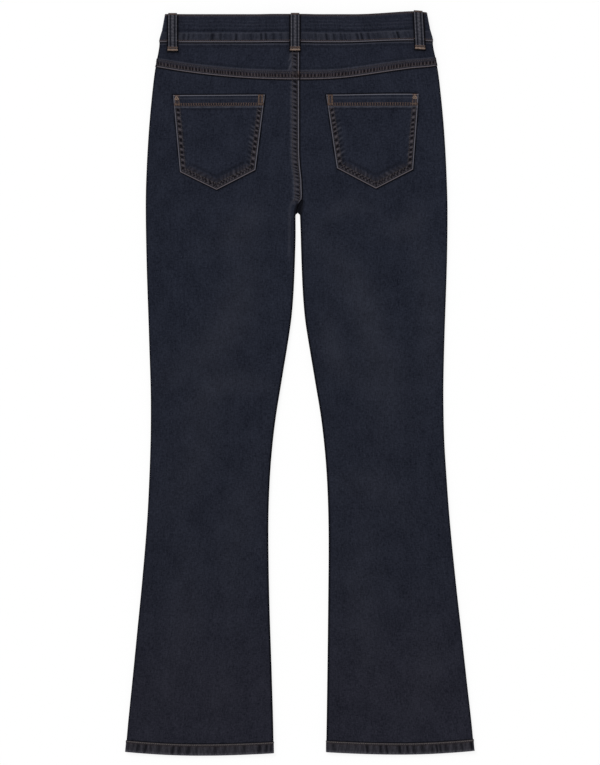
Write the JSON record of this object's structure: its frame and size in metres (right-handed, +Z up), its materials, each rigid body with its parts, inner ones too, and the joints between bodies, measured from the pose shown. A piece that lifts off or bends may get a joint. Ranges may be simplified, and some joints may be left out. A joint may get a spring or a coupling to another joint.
{
  "type": "bootcut jeans, laid flat face down",
  "caption": "Dark indigo bootcut jeans laid flat on their front, with yokes, back patch pockets, belt loops, fly and turned-up hems.",
  "frame": {"origin": "on the surface that the jeans lie on, under the middle of their outline", "axes": "+Y towards the waistband, +Z up out of the back of the jeans, +X towards the wearer's right leg"},
  "size_m": [0.5196, 1.106, 0.0124],
  "materials": {
    "indigo_denim": "matte",
    "worn_denim": "matte",
    "thread": "matte",
    "aged_brass": "satin"
  },
  "bodies": {
    "root": {"back_left": "indigo_denim", "back_right": "indigo_denim", "yoke_left": "indigo_denim", "yoke_right": "indigo_denim", "front_left": "indigo_denim", "front_right": "indigo_denim", "front_pocket_left": "indigo_denim", "front_pocket_right": "indigo_denim", "fly": "indigo_denim", "waistband": "indigo_denim", "back_pocket_left": "indigo_denim", "back_pocket_right": "indigo_denim", "hem_left": "worn_denim", "hem_right": "worn_denim", "belt_loop_back": "worn_denim", "belt_loop_back_left": "worn_denim", "belt_loop_back_right": "worn_denim", "belt_loop_front_left": "worn_denim", "belt_loop_front_right": "worn_denim", "waist_button": "aged_brass"}
  },
  "joints": []
}
